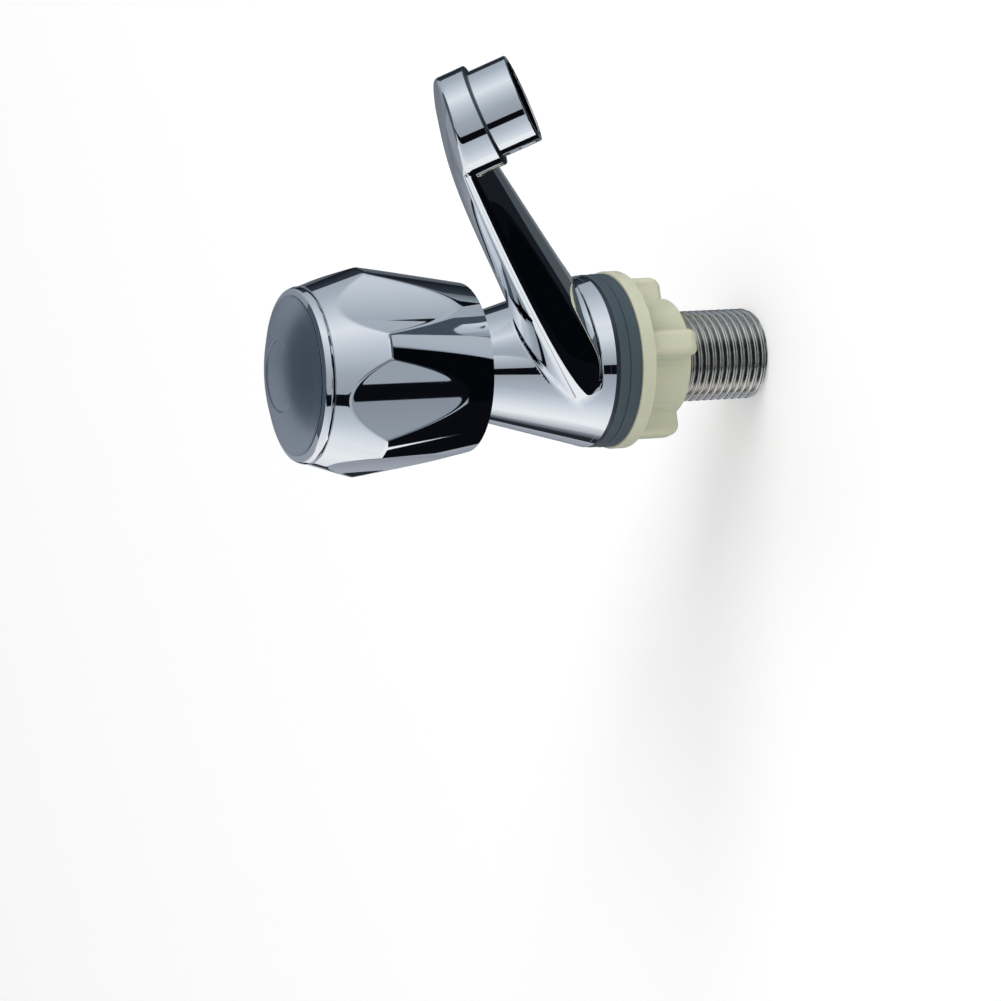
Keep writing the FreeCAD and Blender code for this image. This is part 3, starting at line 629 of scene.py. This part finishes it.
def skin_of(rule, low, high, cell):
    """Points on a rule's zero surface, and the faces between them."""
    lines = [np.arange(a, b + cell, cell) for a, b in zip(low, high)]
    shape = [len(line) for line in lines]
    spots = np.stack(np.meshgrid(*lines, indexing="ij"), -1).reshape(-1, 3)
    inside = (rule(spots) < 0).reshape(shape)
    count = sum(
        inside[i:shape[0] - 1 + i, j:shape[1] - 1 + j, k:shape[2] - 1 + k].astype(int)
        for i in (0, 1) for j in (0, 1) for k in (0, 1)
    )
    crossed = (count > 0) & (count < 8)
    number = np.full(crossed.shape, -1)
    number[crossed] = np.arange(crossed.sum())
    points = np.argwhere(crossed) * cell + np.array(low) + cell / 2
    faces = []
    for axis in range(3):
        b, c = (axis + 1) % 3, (axis + 2) % 3
        first = np.take(inside, range(shape[axis] - 1), axis)
        last = np.take(inside, range(1, shape[axis]), axis)
        edge = np.argwhere(first != last)
        within = (edge[:, [b, c]] > 0) & (edge[:, [b, c]] < np.array([shape[b], shape[c]]) - 1)
        edge = edge[within.all(1)]
        around = []
        for db, dc in ((-1, -1), (0, -1), (0, 0), (-1, 0)):
            cells = edge.copy()
            cells[:, b] += db
            cells[:, c] += dc
            around.append(number[tuple(cells.T)])
        quads = np.stack(around, 1)
        flip = last[tuple(edge.T)]
        quads[flip] = quads[flip][:, ::-1]
        faces.append(quads)
    return points, np.concatenate(faces)


def slide(rule, p, rounds=4):
    """Moves points along the rule's slope onto its zero surface."""
    for _ in range(rounds):
        way = slope_of(rule, p)
        p = p - (rule(p) / np.maximum((way**2).sum(1), 0.05))[:, None] * way
    return p


def even_out(p, faces, rule, rounds=3):
    """Draws each point towards its neighbours' middle and back to the skin, for even faces."""
    for _ in range(rounds):
        total, share = np.zeros_like(p), np.zeros(len(p))
        for k in range(4):
            np.add.at(total, faces[:, k], p[faces[:, (k + 1) % 4]] + p[faces[:, k - 1]])
            np.add.at(share, faces[:, k], 2)
        p = slide(rule, p + 0.5 * (total / share[:, None] - p), 2)
    return p


cell = 0.45
points, faces = skin_of(casting, (-21, -21, 1.6), (100.5, 21, 71.5), cell)
points = even_out(slide(casting, points), faces, casting)
body = linked("body_casting", points, faces.tolist(), chrome)
print("casting:", len(points), "points,", len(faces), "faces")


def follow(thing, rule, near=0.01):
    """Takes the normals of a skin from its rule's slope; faces off the skin keep their own."""
    mesh = thing.data
    spots, corner = np.empty(len(mesh.vertices) * 3), np.empty(len(mesh.loops), int)
    mesh.vertices.foreach_get("co", spots)
    mesh.loops.foreach_get("vertex_index", corner)
    spots = spots.reshape(-1, 3) / MM
    way = slope_of(rule, spots)
    way /= np.maximum(np.linalg.norm(way, axis=1), 1e-9)[:, None]
    on_skin = np.abs(rule(spots)) < near
    first, size = np.empty(len(mesh.polygons), int), np.empty(len(mesh.polygons), int)
    mesh.polygons.foreach_get("loop_start", first)
    mesh.polygons.foreach_get("loop_total", size)
    kept = np.repeat(np.logical_and.reduceat(on_skin[corner], first), size)
    mesh.normals_split_custom_set((way[corner] * kept[:, None]).tolist())
    print("corners on the skin:", kept.sum(), "of", len(corner))

# %% [markdown]
# ## Bores in the casting
#
# The valve seat and chamber, the hole for the tail and the socket for the outlet are turned shapes that
# are cut out of the skin. The valve moves in there, so the room has to be real.

# %% Cut the bores
seat_r, seat_rim_r, seat_z, seat_top_z = 5.75, 6.65, 12.1, 15.6
room_r, room_z, room_top_z, neck_r, above_z = 9.2, 14.6, 25.6, 8.33, 35.0
throat_r, throat_h, socket_h = 6.6, -7.2, -5.2
valve = turned("valve_room", [
    (0, 1.0), (spigot_r, 1.0), (spigot_r, spigot_top_z), (tail_bore_r, spigot_top_z), (tail_bore_r, seat_z),
    (seat_r, seat_z), (seat_r, seat_top_z), (seat_rim_r, seat_top_z), (seat_rim_r, room_z), (room_r, room_z),
    (room_r, room_top_z), (neck_r, room_top_z), (neck_r, above_z), (0, above_z)], chrome, 96)
cut(body, valve)
socket = turned("outlet_socket", [
    (0, throat_h), (throat_r, throat_h), (throat_r, socket_h), (socket_r, socket_h), (socket_r, 1.5),
    (0, 1.5)], chrome, 96, tilted=True)
cut(body, socket)
shaded(body, 40, weighted=False)
follow(body, casting)
placed(body, "tap", "chrome_plate", "tap_body")

# %% [markdown]
# ## Turned edges of the casting
#
# Two round edges of the casting show as thin lines: the low rim on the deck ring and the lip of the nose.
# The skin's cells are too coarse for them. A lathe cleans such edges on the real body, so here they are
# thin turned rings, a few hundredths of a millimetre proud. The rim and the nose's end face are a rougher,
# buffed metal whose dark grey colour is painted shade, so they are duller, darker lines beside the mirror.

# %% Rim and lip
proud, rim_up, ring_in_r = 0.03, 1.2, 12.0
lip_low, lip_high, lip_round = -1.7, -0.5, 0.45
slope_in = (base_r - body_top_r) / (body_h - base_rim_h)
rim_r, rim_top, lip_r = base_r + proud, base_z + base_rim_h, nose_r + proud
# Painted shade: the dark grey colour of this buffed metal darkens the rim's gap line and the lip's end face.
buffed_painted_shade = metal("buffed_chrome_painted_shade_edge", "#62686F", 0.36, 0.46, 0.5)
rim = turned("column_rim", [
    (ring_in_r, base_z), (base_r - 0.1, base_z), (rim_r, base_z + 0.12), (rim_r, rim_top),
    (ring_in_r, rim_top)], buffed_painted_shade, 360)
placed(shaded(rim), "tap", "chrome_plate")
edge = turned("column_edge", [
    (ring_in_r, rim_top), (rim_r, rim_top), (rim_r - slope_in * rim_up, rim_top + rim_up),
    (ring_in_r, rim_top + rim_up)], chrome, 360)
placed(shaded(edge, 10, weighted=False), "tap", "chrome_plate")
lip = turned("nose_lip", [
    (socket_r, lip_low), (lip_r, lip_low), (lip_r, lip_high), (socket_r, lip_high)], chrome, 256, tilted=True)
placed(shaded(lip), "tap", "chrome_plate")
mouth = turned("nose_face", [
    (socket_r, lip_high), (lip_r, lip_high), (lip_r, proud, lip_round), (socket_r, proud)],
    buffed_painted_shade, 256, tilted=True)
placed(shaded(mouth), "tap", "chrome_plate")

# %% [markdown]
# ## Outlet sleeve
#
# The sleeve is a short turned tube that leans with the nose. Its mouth edge is broken by a small radius.
# It could stay as the solid, but a smooth mirror needs more sides.

# %% Outlet sleeve
tube_r, tube_h, mouth_r, insert_r, insert_top = 6.6, -4.2, 8.5, 8.2, 3.2
sleeve = turned("outlet_sleeve", [
    (tube_r, tube_h), (socket_r, tube_h, 0.2), (socket_r, 0.0), (nozzle_r, 0.0, 0.1),
    (nozzle_r, nozzle_len, 0.4), (mouth_r, nozzle_len, 0.25), (mouth_r, insert_top), (insert_r, insert_top),
    (insert_r, 0.2), (tube_r, 0.2)], chrome, 256, tilted=True)
placed(shaded(sleeve), "tap", "chrome_plate", "outlet_nozzle")

# %% [markdown]
# ## A cylinder that follows a rule
#
# The knob's barrel and the tail's thread each follow a rule round an axis: how far out a point lies depends
# on its height and its angle. Geometry Nodes can bend a plain cylinder into such a shape. A list of math
# steps is the rule, and one function turns the list into a tree, runs it and keeps the mesh.

# %% Cylinder by rule
def ruled(name, sizes, steps, material):
    """Bends a cylinder by steps of (name, operation, sources), which end in reach and tall, in mm."""
    tree = bpy.data.node_groups.new(name, "GeometryNodeTree")
    tree.interface.new_socket("Geometry", in_out="OUTPUT", socket_type="NodeSocketGeometry")
    for label, value in sizes.items():
        kind = "NodeSocketInt" if isinstance(value, int) else "NodeSocketFloat"
        tree.interface.new_socket(label, in_out="INPUT", socket_type=kind)
    given = add(tree, "NodeGroupInput")
    made = {label: given.outputs[label] for label in sizes}
    blank = add(tree, "GeometryNodeMeshCylinder", {"Vertices": made["Sides"], "Side Segments": made["Rows"]},
                {"Radius": 1.0, "Depth": 1.0}, fill_type="NGON")
    spot = add(tree, "ShaderNodeSeparateXYZ", {0: add(tree, "GeometryNodeInputPosition").outputs[0]})
    made.update(x=spot.outputs[0], y=spot.outputs[1], z=spot.outputs[2])
    scaled = [("reach_m", "MULTIPLY", "reach", MM), ("new_x", "MULTIPLY", "x", "reach_m"),
              ("new_y", "MULTIPLY", "y", "reach_m"), ("new_z", "MULTIPLY", "tall", MM)]
    for step, operation, *sources in steps + scaled:
        links = {i: made[source] for i, source in enumerate(sources) if isinstance(source, str)}
        values = {i: source for i, source in enumerate(sources) if not isinstance(source, str)}
        made[step] = add(tree, "ShaderNodeMath", links, values, operation=operation).outputs[0]
    joined = add(tree, "ShaderNodeCombineXYZ", {0: made["new_x"], 1: made["new_y"], 2: made["new_z"]})
    bent = add(tree, "GeometryNodeSetPosition", {
        "Geometry": blank.outputs["Mesh"], "Position": joined.outputs[0]})
    real = add(tree, "GeometryNodeRealizeInstances", {0: bent.outputs[0]})
    painted = add(tree, "GeometryNodeSetMaterial", {"Geometry": real.outputs[0]}, {"Material": material})
    add(tree, "NodeGroupOutput", {0: painted.outputs[0]})
    thing = linked(name, [(0, 0, 0)], [], material)
    run = thing.modifiers.new("run", "NODES")
    run.node_group = tree
    for item in tree.interface.items_tree:
        if item.in_out == "INPUT":
            run[item.identifier] = sizes[item.name]
    settle(thing)
    print(name, "blank:", len(thing.data.polygons), "faces")
    return thing


# %% [markdown]
# ## The fluted knob
#
# The knob is a turned barrel with a crown, and six round cutters scoop its flutes. Each point of the
# cylinder asks how far out the barrel is, and how far the nearest cutter lets it go, and takes the smaller,
# softly.

# %% Knob by rule
knob_sizes = {"Sides": 540, "Rows": 150, "Height": knob_h, "Foot": knob_z, "Rear radius": knob_rear_r,
              "Wide radius": knob_wide_r, "Wide height": knob_wide_h, "Front radius": knob_front_r,
              "Cutter radius": 36.0, "Flute rear": 20.3, "Flute front": 20.95,
              "First flute": math.radians(6.0), "Edge": 0.35}
knob = ruled("fluted_knob", knob_sizes, [
    ("share", "ADD", "z", 0.5),
    ("up", "MULTIPLY", "share", "Height"),
    ("angle", "ARCTAN2", "y", "x"),
    ("from_flute", "SUBTRACT", "angle", "First flute"),
    ("fold", "WRAP", "from_flute", math.pi / 6, -math.pi / 6),
    ("gain", "SUBTRACT", "Flute front", "Flute rear"),
    ("gained", "MULTIPLY_ADD", "gain", "share", "Flute rear"),
    ("axis", "ADD", "gained", "Cutter radius"),
    ("cos", "COSINE", "fold"),
    ("sin", "SINE", "fold"),
    ("near", "MULTIPLY", "axis", "cos"),
    ("off", "MULTIPLY", "axis", "sin"),
    ("off2", "MULTIPLY", "off", "off"),
    ("cut2", "MULTIPLY", "Cutter radius", "Cutter radius"),
    ("left2", "SUBTRACT", "cut2", "off2"),
    ("left", "SQRT", "left2"),
    ("flute", "SUBTRACT", "near", "left"),
    ("widen", "SUBTRACT", "Wide radius", "Rear radius"),
    ("rear_slope", "DIVIDE", "widen", "Wide height"),
    ("barrel", "MULTIPLY_ADD", "up", "rear_slope", "Rear radius"),
    ("crown_h", "SUBTRACT", "Height", "Wide height"),
    ("narrow", "SUBTRACT", "Front radius", "Wide radius"),
    ("front_slope", "DIVIDE", "narrow", "crown_h"),
    ("past", "SUBTRACT", "up", "Wide height"),
    ("crown", "MULTIPLY_ADD", "past", "front_slope", "Wide radius"),
    ("turned", "SMOOTH_MIN", "barrel", "crown", "Edge"),
    ("reach", "SMOOTH_MIN", "turned", "flute", "Edge"),
    ("tall", "ADD", "up", "Foot"),
], chrome)

# %% [markdown]
# ## Inside of the knob
#
# From below one can look into the knob's skirt, so the hollow, the boss and the six ribs are real. A
# turned tool with the boss and the ribs left out of it is cut from the blank.

# %% Hollow the knob
skirt_r, skirt_z, web_z, pocket_r, pocket_z = 17.13, 32.4, 61.0, 12.0, 64.4
boss_r, boss_z, bush_r, bush_z, screw_boss_r, screw_r = 9.0, 50.6, 7.6, 52.2, 6.0, 2.15
cap_seat_r, cap_seat_z, over_z = 16.9, 67.8, 72.0
room = turned("knob_room", [
    (0, skirt_z), (skirt_r, skirt_z), (skirt_r, web_z), (boss_r, web_z), (boss_r, boss_z), (bush_r, boss_z),
    (bush_r, bush_z), (screw_boss_r, bush_z), (screw_boss_r, web_z), (screw_r, web_z), (screw_r, pocket_z),
    (pocket_r, pocket_z), (pocket_r, cap_seat_z), (cap_seat_r, cap_seat_z), (cap_seat_r, over_z),
    (0, over_z)], chrome, 96)
rib_in, rib_out, rib_half_t, rib_z, rib_top_z, rib_count, first_rib = 8.0, 18.0, 0.9, 51.2, 62.0, 6, 36
rib_points, rib_faces = [], []
for i in range(rib_count):
    a = math.radians(first_rib + 360 / rib_count * i)
    along, across = np.array([math.cos(a), math.sin(a), 0]), np.array([-math.sin(a), math.cos(a), 0])
    n = len(rib_points)
    rib_points += [along * r + across * t + np.array([0, 0, h]) for h in (rib_z, rib_top_z) for r, t in (
        (rib_in, -rib_half_t), (rib_out, -rib_half_t), (rib_out, rib_half_t), (rib_in, rib_half_t))]
    rib_faces += [[n + k for k in face] for face in (
        (3, 2, 1, 0), (4, 5, 6, 7), (0, 1, 5, 4), (1, 2, 6, 5), (2, 3, 7, 6), (3, 0, 4, 7))]
cut(room, linked("ribs", rib_points, rib_faces, chrome))
cut(knob, room)
shaded(knob, 40, weighted=False)
placed(knob, "handle", "chrome_plate", "knob")

# %% [markdown]
# ## Ring, cap and disc
#
# The bead round the cap is a bright rounded ring. The cap is a shallow dome, blasted satin, with a skirt
# that plugs into the knob, and a plain disc sits a little sunk in its middle. All three are turned.

# %% Ring, cap and disc
bead = turned("cap_bead", [
    (17.2, 71.2), (19.7, 71.2, 0.3), (19.86, 72.1, 0.9), (19.35, 73.35, 0.8), (18.0, 73.7, 0.25),
    (17.2, 73.7)], chrome, 256)
placed(shaded(bead), "handle", "chrome_plate", "cap_ring")

cap_r, cap_z, cap_rise, plug_in_r, edge_r = 17.9, 73.8, 4.2, 15.1, 17.75
disc_r, disc_gap, disc_floor, disc_sunk = 8.0, 0.02, 1.15, 0.25
ball_r = (cap_r**2 + cap_rise**2) / (2 * cap_rise)


def dome(r, drop=0.0):
    """Height of the cap's ball at a radius."""
    return cap_z + cap_rise - ball_r - drop + math.sqrt(ball_r**2 - r**2)


outer = [(r, dome(r)) for r in np.linspace(17.7, disc_r + 0.12, 26)]
hollow = [(disc_r, dome(disc_r) - 0.1), (disc_r, dome(disc_r, disc_floor)), (0, dome(0, disc_floor))]
cap = turned("satin_cap", [
    (0, cap_z), (plug_in_r, cap_z), (plug_in_r, cap_seat_z), (cap_seat_r, cap_seat_z, 0.3),
    (cap_seat_r, cap_z),
    (edge_r, cap_z, 0.08), (17.88, 73.9)] + outer + hollow, satin, 256)
placed(shaded(cap, 30), "handle", "satin_cap", "cap")

face = [(r, dome(r, disc_sunk)) for r in np.linspace(disc_r - 0.25, 0, 12)]
disc = turned("cap_disc_face", [
    (0, dome(0, disc_floor)), (disc_r - disc_gap, dome(disc_r, disc_floor)),
    (disc_r - disc_gap, dome(disc_r, disc_sunk) - 0.15)] + face, satin, 192)
placed(shaded(disc, 30), "handle", "satin_cap", "cap_disc")

# %% [markdown]
# ## The threaded tail
#
# A screw thread is a rule too: the radius depends only on how far a point is along the helix. Geometry
# Nodes bend a cylinder of many rows into it. The crests and roots are softened a little, as a rolled or
# worn thread's are, because sharp ones never catch a highlight.

# %% Thread by rule
thread_r, root_r, pitch = 10.4775, 9.3155, 1.814
tail_sizes = {"Sides": 128, "Rows": 400, "Length": tail_len + base_z, "Foot": -tail_len, "Crest": thread_r,
              "Root": root_r, "Pitch": pitch, "Edge": 0.22, "Half root": 0.81, "Flank slope": 2.0028,
              "Flank foot": 9.2555, "Relief low": -19.4, "Relief high": -15.4, "Neck": -1.4,
              "Chamfer foot": 9.5775}
tail = ruled("threaded_tail", tail_sizes, [
    ("share", "ADD", "z", 0.5),
    ("tall", "MULTIPLY_ADD", "share", "Length", "Foot"),
    ("angle", "ARCTAN2", "y", "x"),
    ("turns", "DIVIDE", "angle", 2 * math.pi),
    ("pitches", "DIVIDE", "tall", "Pitch"),
    ("phase", "SUBTRACT", "pitches", "turns"),
    ("near", "WRAP", "phase", 0.5, -0.5),
    ("off", "ABSOLUTE", "near"),
    ("off_mm", "MULTIPLY", "off", "Pitch"),
    ("flank", "SUBTRACT", "Half root", "off_mm"),
    ("ridge", "MULTIPLY_ADD", "flank", "Flank slope", "Flank foot"),
    ("low", "SMOOTH_MAX", "ridge", "Root", "Edge"),
    ("thread", "SMOOTH_MIN", "low", "Crest", "Edge"),
    ("below", "LESS_THAN", "tall", "Relief low"),
    ("above", "GREATER_THAN", "tall", "Relief high"),
    ("on", "ADD", "below", "above"),
    ("gone", "SUBTRACT", 1.0, "on"),
    ("relief", "MULTIPLY", "gone", 3.0),
    ("kept", "SUBTRACT", "thread", "relief"),
    ("cored", "MAXIMUM", "kept", "Root"),
    ("neck_on", "GREATER_THAN", "tall", "Neck"),
    ("neck", "MULTIPLY", "neck_on", "Crest"),
    ("full", "MAXIMUM", "cored", "neck"),
    ("end", "SUBTRACT", "tall", "Foot"),
    ("chamfer", "ADD", "end", "Chamfer foot"),
    ("reach", "SMOOTH_MIN", "full", "chamfer", 0.3),
], nickel)
cut(tail, turned("spigot", [(0, 2.0), (spigot_r, 2.0), (spigot_r, spigot_top_z), (0, spigot_top_z)],
                 nickel, 128), "UNION")
cut(tail, turned("tail_bore", [(0, -41), (tail_bore_r, -41), (tail_bore_r, 11.5), (0, 11.5)], nickel, 128))
shaded(tail, 50, weighted=False)
placed(tail, "tap", "bright_thread", "inlet_tail")

# %% [markdown]
# ## Rings and nut
#
# The two rubber rings are flat turned rings with slightly broken edges. The plastic nut and the outlet's
# insert have the right shape as solids. Their faces come as loose triangles, so a copy is merged and shaded
# smooth where it curves.

# %% Merged copies
def merged(node, name, material, body, slot, angle=32):
    """A merged, smoothly shaded copy of a CAD node, which it replaces."""
    shape = frame["nodes"][node]
    mesh = shape.data.copy()
    mesh.transform(shape.matrix_world)
    mesh.materials.clear()
    mesh.materials.append(material)
    thing = bpy.data.objects.new(name, mesh)
    scene.collection.objects.link(thing)
    weld = thing.modifiers.new("weld", "WELD")
    weld.merge_threshold = 1e-6
    settle(thing)
    shaded(thing, angle)
    return placed(thing, body, slot, node)


hole_r, rubber_round, clamp_t = 10.828, 0.35, 2.85
rubber_rings = (
    ("base_washer", "base_ring", base_r + 0.15, 0.0, base_z, "tap"),
    ("clamp_washer", "clamp_ring", base_r + 0.25, -clamp_t, 0.0, "deck_ring"))
for node, name, r, low, high, on in rubber_rings:
    outline = [(hole_r, low), (r, low, rubber_round), (r, high, rubber_round), (hole_r, high)]
    placed(shaded(turned(name, outline, grey_rubber, 256), 50), on, "grey_rubber", node)
merged("back_nut", "winged_nut", cream, "nut", "cream_plastic")
merged("flow_straightener", "outlet_insert", black_plastic, "tap", "black_plastic")

# %% [markdown]
# ## Inner pieces
#
# The headworks and the jumper keep their solids, and get the finishes that such pieces have.

# %% Finishes inside
inner = {
    "bonnet": brass, "gland_nut": brass, "spindle": brass, "jumper": brass, "washer_retainer": brass,
    "jumper_nut": brass, "spline_insert": black_plastic, "handle_screw": zinc, "screw_washer": zinc,
    "spindle_o_rings": black_rubber, "jumper_washer": black_rubber, "nozzle_washer": black_rubber,
    "bonnet_washer": fibre, "thrust_washer": white_plastic,
}
for node, material in inner.items():
    slots = frame["nodes"][node].material_slots
    for place in slots:
        place.link = "OBJECT"
        place.material = material
print("inner pieces:", len(inner))

# %% [markdown]
# ## Close the lesson
#
# The box of the solids is printed.

# %% Sizes and finish
print("CAD box", [[round(c, 4) for c in v] for v in cad_box])
